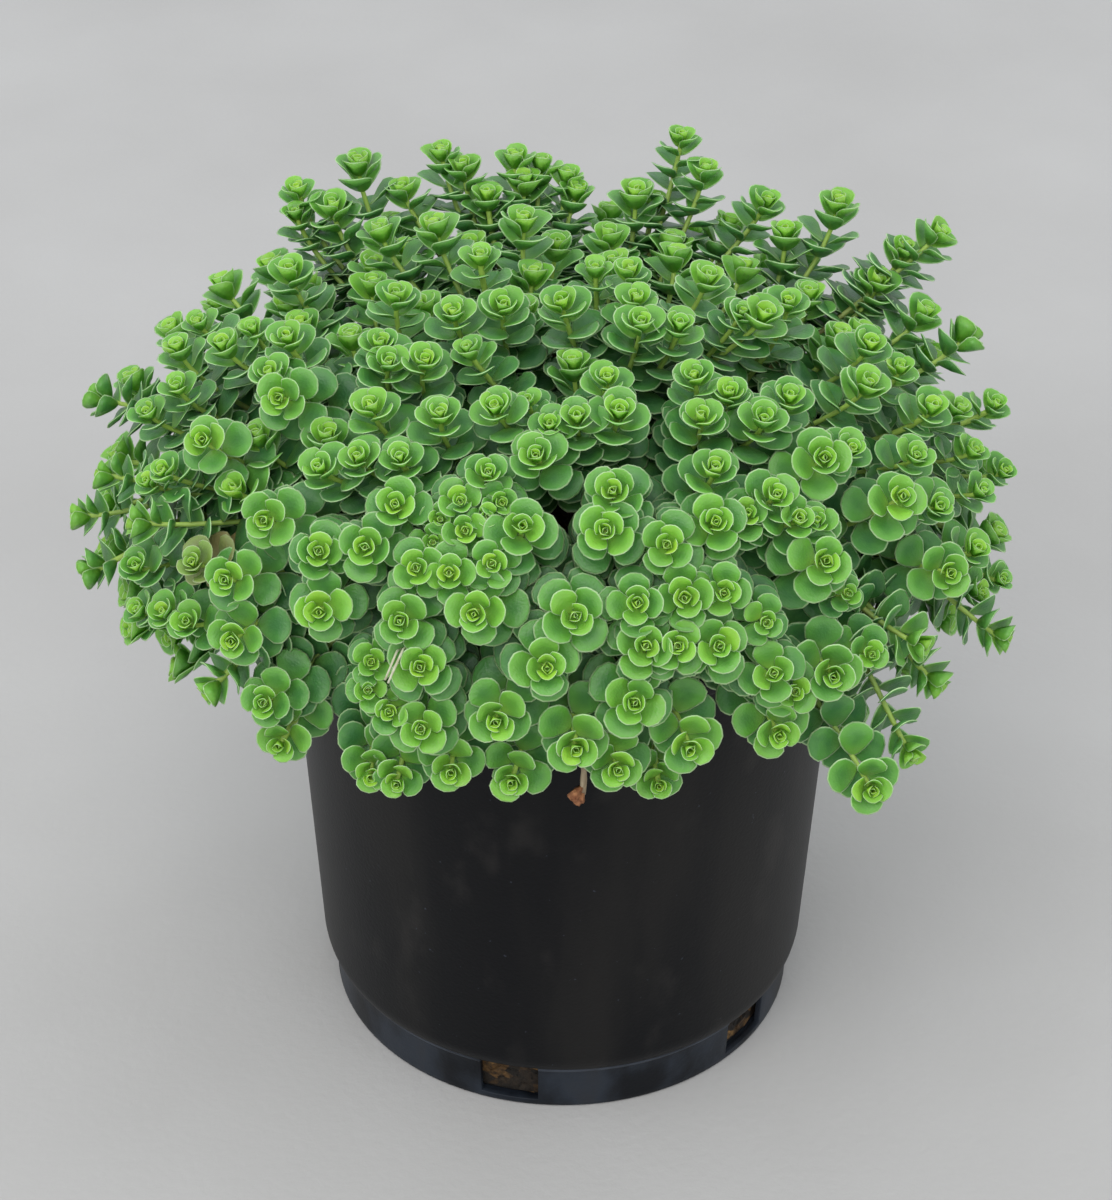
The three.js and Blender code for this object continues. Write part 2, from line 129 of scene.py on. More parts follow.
def mixed(tree, share, first, second):
    """The two colours mixed, by that share of the second."""
    inputs = {"Factor": share, "A": first, "B": second}
    made = tree.nodes.new("ShaderNodeMix")
    made.data_type = "RGBA"
    sockets = {"Factor": made.inputs[0], "A": made.inputs[6], "B": made.inputs[7]}
    for key, value in inputs.items():
        if isinstance(value, bpy.types.NodeSocket):
            tree.links.new(value, sockets[key])
        else:
            sockets[key].default_value = value
    return made.outputs[2]


def colours(tree, value, stops):
    """A colour ramp: stops are pairs of a place from 0 to 1 and a colour."""
    made = node(tree, "ValToRGB", {"Fac": value})
    elements = made.color_ramp.elements
    while len(elements) < len(stops):
        elements.new(1.0)
    for element, (place, colour) in zip(elements, stops):
        element.position = place
        element.color = (*colour, 1.0)
    return made.outputs["Color"]


def bumped(tree, shader, height, distance, strength=1.0):
    """Feeds the shader a bump from that height, distance metres deep."""
    inputs = {"Height": height, "Distance": distance, "Strength": strength}
    tree.links.new(node(tree, "Bump", inputs).outputs["Normal"], shader.inputs["Normal"])


HOLE_TURNS = np.array([-12.5, 52.5, 127.0, 201.0, 275.0])    # drain holes, degrees from the front
POT_HEIGHT, POT_TOP_RADIUS, POT_TAPER, POT_WALL = 168.0, 82.5, 9.2, 1.8
SHOULDER_HEIGHT, CREASE_HEIGHT, CREASE_RADIUS = 23.0, 16.5, 71.6


def drained_pot():
    """The pot's points and faces: a profile of radius and height turned about the axis, with the faces left out
    where a drain hole is and the outer and inner skins joined round it. The radius of the wall at height z is
    82.5 - 9.2 * (1 - z / 168)."""
    hole_half = 7.09
    hole_steps, gap_steps = 8, 20
    starts, ends = HOLE_TURNS - hole_half, HOLE_TURNS + hole_half
    nexts = np.append(starts[1:], starts[0] + 360.0)
    turns = np.concatenate([
        np.append(
            np.linspace(start, end, hole_steps, endpoint=False),
            np.linspace(end, following, gap_steps, endpoint=False),
        )
        for start, end, following in zip(starts, ends, nexts)
    ])
    columns = len(turns)

    def wall_radius(height):
        return POT_TOP_RADIUS - POT_TAPER * (1 - height / POT_HEIGHT)

    shoulder = wall_radius(SHOULDER_HEIGHT)
    under = np.array([[0.5, 0.0], [36.0, 0.0], [69.4, 0.0], [70.4, 0.3], [70.75, 1.0]])
    arc = np.radians([75.0, 59.5, 44.0, 30.0, 15.0, 0.0])
    rounded = np.stack([
        CREASE_RADIUS + (shoulder - CREASE_RADIUS) * np.cos(arc),
        SHOULDER_HEIGHT - (SHOULDER_HEIGHT - CREASE_HEIGHT) * np.sin(arc),
    ], -1)
    band = np.array([
        [70.8, 2.6], [71.1, 7.0], [71.35, 11.5], [71.5, 15.0], [72.0, 15.5], [72.1, 16.1], [71.8, 16.5],
    ])
    outer_hole = np.vstack([band, rounded[:2]])
    heights = np.linspace(30.0, 154.0, 10)
    plain = np.stack([wall_radius(heights), heights], -1)
    lip = np.array([
        [81.95, 157.6], [82.4, 158.1], [84.4, 158.7], [85.1, 160.0], [85.1, 165.8], [84.6, 167.4],
        [83.4, 168.0], [81.6, 168.0], [80.8, 167.4],
    ])
    inner_wall = plain[::-1] - [POT_WALL, 0.0]
    inner_hole = outer_hole[::-1].copy()
    inner_hole[:, 0] = np.interp(
        inner_hole[:, 1], [2.0, CREASE_HEIGHT, SHOULDER_HEIGHT], [68.9, 69.8, shoulder - POT_WALL],
    )
    floor_rows = np.array([[68.7, 2.0], [36.0, 2.0], [0.5, 2.0]])
    inner_shoulder = [[shoulder - POT_WALL, SHOULDER_HEIGHT]]
    profile = np.vstack([
        under, outer_hole, rounded[2:], plain, lip, inner_wall, inner_shoulder, inner_hole, floor_rows,
    ])
    turn = np.radians(turns)[None, :]
    radius, height = profile[:, :1], profile[:, 1:]
    points = np.stack([radius * np.sin(turn), -radius * np.cos(turn), height + 0 * turn], -1).reshape(-1, 3)
    quads = grid_quads(len(profile), columns)
    depth = len(outer_hole) - 1
    first_outer = len(under)
    last_inner = len(profile) - len(floor_rows) - 1
    kept = np.ones(quads.shape[:2], bool)
    joins = []
    for first in range(0, columns, hole_steps + gap_steps):
        kept[first_outer:first_outer + depth, first:first + hole_steps] = False
        kept[last_inner - depth:last_inner, first:first + hole_steps] = False
        level = np.arange(depth + 1)
        for column, flipped in ((first, False), (first + hole_steps, True)):
            outside = (first_outer + level) * columns + column % columns
            inside = (last_inner - level) * columns + column % columns
            jamb = np.stack([outside[:-1], inside[:-1], inside[1:], outside[1:]], -1)
            joins.append(jamb[:, ::-1] if flipped else jamb)
        edge = (np.arange(hole_steps + 1) + first) % columns
        for level, flipped in ((0, False), (depth, True)):
            outside = (first_outer + level) * columns + edge
            inside = (last_inner - level) * columns + edge
            sill = np.stack([outside[:-1], outside[1:], inside[1:], inside[:-1]], -1)
            joins.append(sill[:, ::-1] if flipped else sill)
    ring = np.arange(columns)
    top = (len(profile) - 1) * columns
    caps = [ring[::-1][None, :], (top + ring)[None, :]]
    return points, [np.concatenate([quads[kept], *joins]), *caps]


pot_plastic, tree, shader = made_of("pot_plastic", 0.5)
place = node(tree, "TexCoord", {}).outputs["Object"]
height = node(tree, "SeparateXYZ", {"Vector": place}).outputs["Z"]
streaks = noise(tree, place, 26.0, 5.0, (1.0, 1.0, 0.22))
smears = noise(tree, place, 55.0, 6.0, (1.0, 1.0, 0.6))
specks = noise(tree, place, 520.0, 2.0)
black = mixed(tree, ramp(tree, streaks, 0.4, 0.66), (0.0018, 0.0021, 0.0032, 1), (0.0105, 0.0098, 0.0095, 1))
# Below the crease the base band is lightened towards bluish grey in smeared patches: partly dust, partly a painted
# bluish sky reflection on the band.
in_band = ramp(tree, height, 0.0158, 0.0172, 1.0, 0.0)
band_dust_and_sheen = product(tree, in_band, ramp(tree, smears, 0.36, 0.66, 0.1, 0.85))
banded = mixed(tree, band_dust_and_sheen, black, (0.03, 0.038, 0.052, 1))
# A thin lighter bluish line along the crease ridge, patchy with the smears: a painted highlight.
on_ridge = product(tree, ramp(tree, height, 0.0148, 0.0158), ramp(tree, height, 0.0164, 0.0176, 1.0, 0.0))
ridge_painted_highlight = product(tree, on_ridge, ramp(tree, smears, 0.3, 0.6, 0.2, 0.8))
ridged = mixed(tree, ridge_painted_highlight, banded, (0.07, 0.08, 0.1, 1))
scuffed = mixed(tree, product(tree, ramp(tree, smears, 0.56, 0.74), 0.4), ridged, (0.03, 0.027, 0.025, 1))
specked = mixed(tree, product(tree, ramp(tree, specks, 0.74, 0.79), 0.25), scuffed, (0.12, 0.14, 0.19, 1))
tree.links.new(specked, shader.inputs["Base Color"])
rough = node(tree, "MapRange", {"Value": streaks, "To Min": 0.38, "To Max": 0.52}).outputs["Result"]
tree.links.new(rough, shader.inputs["Roughness"])
shader.inputs["Specular IOR Level"].default_value = 0.18
bumped(tree, shader, noise(tree, place, 900.0, 4.0), 0.00012, 0.6)

pot_points, pot_faces = drained_pot()
pot = surface("nursery_pot_moulding", pot_points, pot_faces, [pot_plastic])
rounding = pot.modifiers.new("rounded edges", "BEVEL")
rounding.width = 0.0004
rounding.segments = 2
rounding.limit_method = "ANGLE"
rounding.angle_limit = math.radians(38)
stand_for(pot, "nursery_pot")

# Potting soil
# The root ball: composted bark, dark with amber chips, packed into the pot up to just under its rim. The
# stems are rooted in it, and the drain holes show its side.


def rugged(points, size, seed):
    """A smooth uneven number from -1 to 1 at each point: sines of random directions, about size mm to a lump."""
    waves = np.random.default_rng(seed).normal(size=(9, 3)) * (2.2 / size)
    phases = np.random.default_rng(seed + 1).uniform(0, 2 * np.pi, 9)
    return np.sin(points @ waves.T + phases).mean(-1) * 1.6


def turned(profile, columns):
    """A profile of radius and height turned about the axis, first and last rows closed by a pole."""
    turn = np.linspace(0, 2 * np.pi, columns, endpoint=False)[None, :]
    radius, height = profile[:, :1], profile[:, 1:]
    rows = np.stack([radius * np.cos(turn), radius * np.sin(turn), height + 0 * turn], -1).reshape(-1, 3)
    poles = np.array([[0, 0, profile[0, 1]], [0, 0, profile[-1, 1]]])
    ring = np.arange(columns)
    beyond = (ring + 1) % columns
    low, high = len(rows), len(rows) + 1
    last = (len(profile) - 1) * columns
    fans = np.concatenate([
        np.stack([beyond, ring, low + 0 * ring], -1),
        np.stack([last + ring, last + beyond, high + 0 * ring], -1),
    ])
    return np.vstack([rows, poles]), [grid_quads(len(profile), columns).reshape(-1, 4), fans]


def bark_chips(centres, outward, rng):
    """Flat chips of eight corners each, three unequal sides, lying roughly square to the outward directions."""
    count = len(centres)
    along = np.cross(outward, rng.normal(size=(count, 3)))
    along /= np.linalg.norm(along, axis=1, keepdims=True)
    across = np.cross(outward, along)
    half = rng.uniform([1.4, 0.8, 0.3], [3.2, 1.7, 0.8], (count, 3))
    signs = np.array([
        [-1, -1, -1], [1, -1, -1], [1, 1, -1], [-1, 1, -1], [-1, -1, 1], [1, -1, 1], [1, 1, 1], [-1, 1, 1],
    ])
    reach = signs[None] * half[:, None] * rng.uniform(0.7, 1.15, (count, 8, 3))
    axes = np.stack([along, across, outward], 1)
    points = centres[:, None] + reach @ axes
    sides = np.array([[0, 3, 2, 1], [4, 5, 6, 7], [0, 1, 5, 4], [1, 2, 6, 5], [2, 3, 7, 6], [3, 0, 4, 7]])
    faces = sides[None] + 8 * np.arange(count)[:, None, None]
    return points.reshape(-1, 3), faces.reshape(-1, 4)


rng = np.random.default_rng(11)
side_heights = np.linspace(3, 154, 60)
side_radii = np.interp(side_heights, [2.3, 16.5, 23, 154], [68.2, 69.1, 72.1, 79.3])
side_rows = np.stack([side_radii, side_heights], -1)
top_rows = np.stack([np.linspace(77.5, 1.5, 40), np.full(40, 156.2)], -1)
under_rows = np.stack([np.linspace(1.5, 67.5, 12), np.full(12, 2.6)], -1)
soil_points, soil_faces = turned(np.vstack([under_rows, side_rows, top_rows]), 160)
lumps = rugged(soil_points, 4.5, 3) + 0.5 * rugged(soil_points, 2.0, 5)
radial = soil_points * [1, 1, 0]
radial /= np.maximum(np.linalg.norm(radial, axis=1, keepdims=True), 1.0)
on_top = (soil_points[:, 2] > 155.5)[:, None]
at_side = ((soil_points[:, 2] > 2.8) & (soil_points[:, 2] < 155.5))[:, None]
soil_points = (
    soil_points + at_side * radial * (lumps[:, None] - 1.0) * 0.7 + on_top * [0, 0, 1] * (lumps[:, None] - 1.2) * 0.9
)
top_chips, chips_to_a_hole = 900, 26
hole_chips = chips_to_a_hole * len(HOLE_TURNS)
reach, heading = 76.0 * np.sqrt(rng.uniform(0, 1, top_chips)), rng.uniform(0, 2 * np.pi, top_chips)
top_centres = np.stack([reach * np.cos(heading), reach * np.sin(heading), np.full(top_chips, 155.6)], -1)
top_out = rng.normal(size=(top_chips, 3)) * 0.25 + [0, 0, 1]
hole_turn = np.radians(np.repeat(HOLE_TURNS, chips_to_a_hole) + rng.uniform(-7, 7, hole_chips))
hole_out = np.stack([np.sin(hole_turn), -np.cos(hole_turn), 0 * hole_turn], -1)
hole_centres = hole_out * rng.uniform(66.6, 67.6, hole_chips)[:, None]
hole_centres[:, 2] += rng.uniform(4, 17, hole_chips)
outward = np.vstack([top_out, hole_out + rng.normal(size=(hole_chips, 3)) * 0.18])
outward /= np.linalg.norm(outward, axis=1, keepdims=True)
chip_points, chip_faces = bark_chips(np.vstack([top_centres, hole_centres]), outward, rng)
soil_faces[0] = np.concatenate([soil_faces[0], chip_faces + len(soil_points)])

bark, tree, shader = made_of("composted_bark", 0.9)
place = node(tree, "TexCoord", {}).outputs["Object"]
cells = node(tree, "TexVoronoi", {"Vector": place, "Scale": 260.0}).outputs["Color"]
cell = node(tree, "SeparateColor", {"Color": cells}).outputs["Red"]
chips = colours(tree, cell, [
    (0.0, (0.008, 0.006, 0.004)), (0.4, (0.024, 0.015, 0.008)), (0.65, (0.11, 0.055, 0.016)),
    (1.0, (0.26, 0.14, 0.04)),
])
grain = noise(tree, place, 700.0, 6.0)
damp = mixed(tree, ramp(tree, grain, 0.4, 0.7, 0.0, 0.7), chips, (0.01, 0.007, 0.005, 1))
tree.links.new(damp, shader.inputs["Base Color"])
bumped(tree, shader, grain, 0.0006)
soil = surface("root_ball", np.vstack([soil_points, chip_points]), soil_faces, [bark])
stand_for(soil, "potting_soil")

# Stonecrop stems
# Living fleshy stems rooted in the soil, each with several shoots. A shoot carries opposite pairs of round,
# cupped, pale-rimmed leaves, each pair crossing the last, and ends in a tight bud. A stem grew as one piece.

# Shoot tips read in the picture, in its pixels: across, down, rosette width. Where a shoot lies along
# the mound, two more numbers give the point on it that its leaves lead back to.
SEEN_TIPS = [
    # Back edge
    (358, 166, 60), (332, 208, 50), (379, 233, 50), (402, 190, 40), (435, 228, 50), (441, 153, 40),
    (463, 168, 45), (487, 197, 45), (515, 160, 45), (524, 182, 45), (542, 165, 40), (524, 222, 55),
    (577, 192, 40), (568, 176, 35), (636, 195, 50), (682, 137, 34), (705, 171, 40), (785, 235, 55),
    (767, 203, 40), (838, 205, 50), (939, 235, 45, 905, 262), (905, 250, 40), (879, 284, 50), (290, 274, 65),
    (297, 190, 35), (295, 213, 30), (252, 330, 35),
    # Crown
    (397, 297, 50), (453, 315, 45), (480, 258, 45), (503, 309, 50), (561, 305, 60), (595, 270, 40),
    (630, 272, 45), (636, 300, 45), (708, 280, 50), (764, 318, 65), (788, 304, 45), (742, 314, 35),
    (925, 314, 45), (966, 336, 45, 940, 362), (641, 325, 50), (680, 327, 45), (381, 345, 45), (389, 365, 45),
    (425, 363, 50), (467, 350, 35), (527, 402, 24), (607, 380, 40), (694, 378, 45), (730, 394, 40),
    (790, 399, 45), (870, 347, 50), (868, 387, 65), (900, 369, 40), (371, 409, 50), (440, 416, 50),
    (495, 410, 50), (577, 420, 45), (550, 426, 35), (619, 415, 60), (701, 419, 45), (764, 422, 50),
    # Left side
    (98, 398, 35, 150, 412), (147, 414, 40), (177, 349, 45), (198, 324, 40), (223, 347, 50), (287, 340, 50),
    (269, 375, 50), (279, 398, 55, 345, 412), (177, 388, 40), (203, 440, 65, 245, 470), (163, 472, 40),
    (147, 483, 35), (106, 474, 35, 140, 470), (81, 515, 35, 125, 528), (138, 522, 45, 180, 535),
    (264, 520, 60, 345, 498), (92, 571, 38, 135, 568), (136, 568, 40), (193, 564, 40),
    (225, 580, 50, 265, 580), (138, 612, 40), (163, 614, 40), (186, 623, 40), (232, 641, 50, 270, 615),
    (319, 612, 60, 375, 585), (209, 689, 40, 240, 675), (263, 703, 45), (279, 745, 50, 325, 700),
    # Middle
    (319, 470, 45), (358, 460, 45), (400, 460, 45), (395, 506, 50), (365, 548, 55), (319, 552, 45),
    (488, 474, 40), (536, 458, 50), (460, 502, 35), (502, 504, 30), (440, 520, 25), (465, 531, 35),
    (488, 518, 30), (433, 543, 25), (522, 527, 60), (605, 531, 60), (612, 492, 52), (667, 545, 50),
    (715, 470, 50), (716, 523, 60), (748, 514, 35), (776, 497, 50), (416, 568, 45), (449, 573, 45),
    (492, 564, 40), (400, 621, 50), (474, 614, 65, 522, 585), (575, 616, 72), (637, 603, 50), (685, 598, 55),
    (724, 593, 45), (767, 623, 30), (646, 646, 50), (678, 646, 45), (720, 646, 55), (547, 668, 55),
    (371, 662, 32), (368, 690, 35), (389, 712, 40), (420, 667, 60), (635, 703, 72),
    # Right side
    (824, 458, 65, 805, 498), (852, 451, 40), (916, 458, 40), (902, 497, 65, 862, 518), (939, 509, 40),
    (932, 410, 50), (959, 410, 40), (996, 405, 35), (975, 452, 34), (1005, 472, 30), (982, 493, 35),
    (799, 520, 45), (817, 522, 35), (826, 561, 75, 780, 570), (849, 594, 18), (950, 573, 55, 885, 562),
    (976, 552, 45), (1002, 581, 30), (980, 595, 35), (872, 655, 34), (921, 644, 45, 885, 635),
    (1003, 638, 35, 975, 652), (935, 684, 40, 905, 665),
    # Front skirt
    (421, 729, 50), (496, 722, 65, 490, 672), (774, 673, 50), (833, 676, 70, 835, 625), (795, 692, 40),
    (690, 749, 65, 690, 685), (576, 749, 72, 565, 690), (779, 735, 60, 745, 700), (371, 777, 40),
    (396, 784, 45), (451, 772, 55), (511, 782, 55), (618, 770, 50), (659, 786, 40),
    (872, 790, 60, 842, 745), (912, 755, 35, 880, 740),
]
WITHERING_TIP = (193, 564)
USUAL_WIDTH = 48.0                    # pixels, for the shoots that the picture hides
WIDE = 50.0                           # pixels, from which a lying rosette turns its face to the viewpoint
PIXELS_PER_MM = 3.3
EYE = np.array([0.0, -823.9, 728.9])
FOCAL_LENGTH = 3443.0                 # pixels
PICTURE_WIDTH, PICTURE_HEIGHT = 1112.0, 1200.0
UP = np.array([0.0, 0.0, 1.0])
MOUND_CENTRE = np.array([0.0, 0.0, 170.0])
MOUND_LEFT, MOUND_RIGHT, MOUND_FRONT, MOUND_BACK = 136.0, 124.0, 110.0, 122.0
MOUND_DROP, MOUND_RISE = 46.0, 72.0
MOUND_POWER = 2.3
STEMS, HIDDEN_TIPS = 46, 260          # stem feet, and the evenly spaced places tried for the hidden shoots' tips
ROOT_DISC_RADIUS = 72.0
HALF_DROOP = math.radians(62.5)       # half the polar angle that the mound reaches down to
SOIL_START = 157.3
OVER_RIM_HEIGHT = 190.0               # a tip that hangs lower belongs to a shoot that climbs over the rim


def unit(vectors):
    """The vectors at length 1."""
    return vectors / np.linalg.norm(vectors, axis=-1, keepdims=True)


def mound_halves(points):
    """Half the mound's width each way from its middle, on the side that each point is on."""
    return np.stack([
        np.where(points[..., 0] < 0, MOUND_LEFT, MOUND_RIGHT),
        np.where(points[..., 1] < 0, MOUND_FRONT, MOUND_BACK),
        np.where(points[..., 2] < MOUND_CENTRE[2], MOUND_DROP, MOUND_RISE),
    ], -1)


def mound_level(points):
    """((x^2 + y^2)^(p / 2) + |z|^p)^(1 / p) of the shares of half the width, with p 2.3: 1 on the surface that
    the tips make."""
    share = (points - MOUND_CENTRE) / mound_halves(points)
    across = np.hypot(share[..., 0], share[..., 1])
    return (across**MOUND_POWER + np.abs(share[..., 2]) ** MOUND_POWER) ** (1 / MOUND_POWER)


def mound_normal(point):
    """The level's steepest direction, from central differences half a millimetre each way."""
    step = 0.5 * np.eye(3)
    return unit(mound_level(point + step) - mound_level(point - step))


def sight_axes():
    """The picture's forward, right and upward directions: 35.69 degrees down, turned -0.17 and rolled 0.36."""
    down, turn, roll = np.radians([35.69, -0.17, 0.36])
    forward = np.array([np.sin(turn) * np.cos(down), np.cos(turn) * np.cos(down), -np.sin(down)])
    level = unit(np.cross(forward, UP))
    right = level * np.cos(roll) - np.cross(forward, level) * np.sin(roll)
    return forward, right, np.cross(right, forward)


def on_mound(across, down, depth):
    """Where the line of sight through a picture point first meets the mound, or comes nearest to it."""
    forward, right, above = sight_axes()
    aside, rise = across - PICTURE_WIDTH / 2, PICTURE_HEIGHT / 2 - down
    sight = unit(forward + right * aside / FOCAL_LENGTH + above * rise / FOCAL_LENGTH)
    points = EYE + sight * np.arange(850.0, 1350.0)[:, None]
    levels = mound_level(points)
    inside = levels <= 1.0
    index = inside.argmax() if inside.any() else levels.argmin()
    return points[index] + sight * depth


def shoot_direction(point):
    """Square to the mound on the near side, and standing up more towards the far side and where it hangs low."""
    standing = 0.4 * (1 + np.clip(point[1] / 110.0, -1, 1))
    hanging = np.clip((200.0 - point[2]) / 35.0, 0, 1)
    return unit(mound_normal(point) + (standing + hanging) * UP)


def seen_shoot(across, down, width, *back):
    """A shoot read in the picture: its tip, direction and width. A lying one points away from its back leaves,
    and half towards the viewpoint where its rosette is wide."""
    tip = on_mound(across, down, max(0.0, USUAL_WIDTH - width) * 0.2)
    to_eye = unit(EYE - tip)
    direction = unit(shoot_direction(tip) + 0.4 * to_eye)
    if back:
        behind = on_mound(*back, 0.0)
        direction = unit(tip - behind + 6.0 * mound_normal(behind))
        if width >= WIDE:
            direction = unit(direction + to_eye)
    return {"tip": tip, "direction": direction, "width": width, "lying": bool(back), "seen": (across, down)}


def foot_below(tip):
    """The foot that a tip belongs to: equal areas of the mound map to equal areas of the root disc."""
    share = unit((tip - MOUND_CENTRE) / mound_halves(tip))
    reach = ROOT_DISC_RADIUS * min(1.0, math.sin(math.acos(share[2]) / 2) / math.sin(HALF_DROOP))
    heading = math.atan2(share[1], share[0])
    return np.array([reach * math.cos(heading), reach * math.sin(heading)])


def spiral(count, radius):
    """Evenly spread points on a disc: radius * sqrt((i + 0.5) / count), a golden angle apart."""
    index = np.arange(count)
    reach, heading = radius * np.sqrt((index + 0.5) / count), index * np.pi * (3 - np.sqrt(5))
    return np.stack([reach * np.cos(heading), reach * np.sin(heading)], -1)


def above_foot(foot):
    """The mound's own point above a place on the root disc, the reverse of foot_below."""
    polar = 2 * math.asin(math.sin(HALF_DROOP) * min(1.0, float(np.hypot(*foot)) / ROOT_DISC_RADIUS))
    heading = math.atan2(foot[1], foot[0])
    level = math.sin(polar)
    share = np.array([level * math.cos(heading), level * math.sin(heading), math.cos(polar)])
    outward = share * mound_halves(share + MOUND_CENTRE)
    return MOUND_CENTRE + outward / mound_level(MOUND_CENTRE + outward)


def all_shoots():
    """The shoots read in the picture, then an even filling of the far side and of the crown's lower storey."""
    shoots = [seen_shoot(*read) for read in SEEN_TIPS]
    for foot in spiral(HIDDEN_TIPS, ROOT_DISC_RADIUS):
        tip = above_foot(foot)
        outward = mound_normal(tip)
        faced = outward @ (EYE - tip) > 0
        if faced:
            tip = tip - 12.0 * outward
        gaps = np.linalg.norm(np.array([shoot["tip"] for shoot in shoots]) - tip, axis=1)
        if gaps.min() > 16.0 and (outward[2] > 0.7 or not faced):
            direction = shoot_direction(tip)
            shoots.append({"tip": tip, "direction": direction, "width": USUAL_WIDTH, "lying": False, "seen": None})
    return shoots


def clumps_of(shoots):
    """The shoots shared out to the nearest of 46 stem feet, and in each clump the nearest one first."""
    tips = np.array([shoot["tip"] for shoot in shoots])
    gaps = np.linalg.norm(tips[:, None] - tips[None], axis=-1) + 1e9 * np.eye(len(tips))
    feet = spiral(STEMS, ROOT_DISC_RADIUS)
    clumps = [[] for _ in feet]
    for shoot, nearest_tip in zip(shoots, gaps.min(1)):
        shoot["foot"] = foot_below(shoot["tip"])
        shoot["core"] = min(6.2, 0.4 * nearest_tip, shoot["width"] / PIXELS_PER_MM / 2)
        reach = np.linalg.norm(feet - shoot["foot"], axis=1)
        shoot["gap"] = reach.min()
        clumps[reach.argmin()].append(shoot)
    return [sorted(clump, key=lambda shoot: shoot["gap"]) for clump in clumps if clump]


def evenly(points, shares):
    """Points at those shares of the length of a finely drawn line."""
    lengths = np.append(0.0, np.cumsum(np.linalg.norm(np.diff(points, axis=0), axis=1)))
    return np.stack([np.interp(np.asarray(shares) * lengths[-1], lengths, points[:, i]) for i in range(3)], -1)


def bezier(start, rising, arriving, end, samples=60):
    """A cubic curve through its first and last points: (1 - t)^3, 3 (1 - t)^2 t, 3 (1 - t) t^2 and t^3 of the
    four, added."""
    t = np.linspace(0, 1, samples)[:, None]
    return (1 - t) ** 3 * start + 3 * (1 - t) ** 2 * t * rising + 3 * (1 - t) * t**2 * arriving + t**3 * end


def shoot_line(shoot, samples=240):
    """A cubic curve up out of the soil, over the rim where the tip hangs outside, and in along its direction."""
    start = np.append(shoot["foot"], SOIL_START)
    span = np.linalg.norm(shoot["tip"] - start)
    outer = np.hypot(*shoot["foot"]) > ROOT_DISC_RADIUS / 2
    hangs = max(0.0, OVER_RIM_HEIGHT - shoot["tip"][2]) if outer else 0.0
    rising = start + UP * (0.42 * span + hangs)
    arriving = shoot["tip"] - shoot["direction"] * 0.3 * span / (1 + hangs / 40.0)
    return bezier(start, rising, arriving, shoot["tip"], samples)


def branch_line(main, own, fork, samples=80):
    """From the fork of the main line over to the shoot's own line, by the square root of the share gone."""
    share = np.linspace(0, 1, samples)
    along = fork + (1 - fork) * share
    eased = np.sqrt(share)[:, None]
    return evenly(main, along) * (1 - eased) + evenly(own, along) * eased


def frames(line):
    """The line's directions, and two directions square to each, the second of them near level."""
    direction = unit(np.gradient(line, axis=0))
    heading = line[-1] * [1, 1, 0]
    level = unit(np.array([-heading[1], heading[0], 1e-6]))
    side = unit(np.cross(direction, level))
    return direction, side, np.cross(side, direction)


def tube(line, radii, sides):
    """Circles of those radii round the points of a line, closed at each end by a pole."""
    direction, side, other = frames(line)
    turn = np.linspace(0, 2 * np.pi, sides, endpoint=False)[None, :, None]
    round_it = np.cos(turn) * side[:, None] + np.sin(turn) * other[:, None]
    rows = (line[:, None] + round_it * np.asarray(radii)[:, None, None]).reshape(-1, 3)
    ring = np.arange(sides)
    beyond = (ring + 1) % sides
    last = (len(line) - 1) * sides
    fans = np.concatenate([
        np.stack([ring, beyond, len(rows) + 0 * ring], -1),
        np.stack([last + beyond, last + ring, len(rows) + 1 + 0 * ring], -1),
    ])
    quads = grid_quads(len(line), sides).reshape(-1, 4)[:, ::-1]
    return np.vstack([rows, line[:1], line[-1:]]), quads, fans


def unit_leaf(columns=20):
    """One leaf of length 1 along x, round with a wedge-shaped foot. At the angle t round its middle, which is at
    0.6, with w = (1 - cos t) / 2, the outline is (0.6 + (0.4 + 0.2 * w^2.5) * cos t,
    0.52 * (1 - 0.3 * w^2) * sin t), shallowly scalloped. Rings go from the middle of the upper side over the
    margin to the middle of the underside. Gives points, each one's depth below the upper side in thicknesses,
    its share of the way to the margin, quads and triangles."""
    turn = (np.arange(columns) + 0.5) * 2 * np.pi / columns
    wedge = (1 - np.cos(turn)) / 2
    outline = np.stack([
        (0.4 + 0.2 * wedge**2.5) * np.cos(turn), 0.52 * (1 - 0.3 * wedge**2) * np.sin(turn),
    ], -1)
    outline *= (1 + 0.015 * (-1) ** np.arange(columns) * np.clip(1.5 + np.cos(turn) * 2, 0, 1))[:, None]
    middle, inner_share = np.array([0.6, 0.0]), 0.87
    inner, edge = middle + inner_share * outline, middle + outline
    points = np.vstack([middle, inner, edge, middle])
    depth = np.concatenate([[0.0], np.full(columns, 0.03), np.full(columns, 0.5), [1.2]])
    margin = np.concatenate([[0.0], np.full(columns, inner_share), np.full(columns, 1.0), [0.0]])
    ring = np.arange(columns)
    beyond = (ring + 1) % columns
    quads = np.stack([1 + ring, 1 + columns + ring, 1 + columns + beyond, 1 + beyond], -1)
    last = 1 + columns
    triangles = np.concatenate([
        np.stack([0 * ring, 1 + ring, 1 + beyond], -1),
        np.stack([last + ring, len(points) - 1 + 0 * ring, last + beyond], -1),
    ])
    return points, depth, margin, quads, triangles


LEAF, LEAF_DEPTH, LEAF_MARGIN, LEAF_QUADS, LEAF_TRIANGLES = unit_leaf()
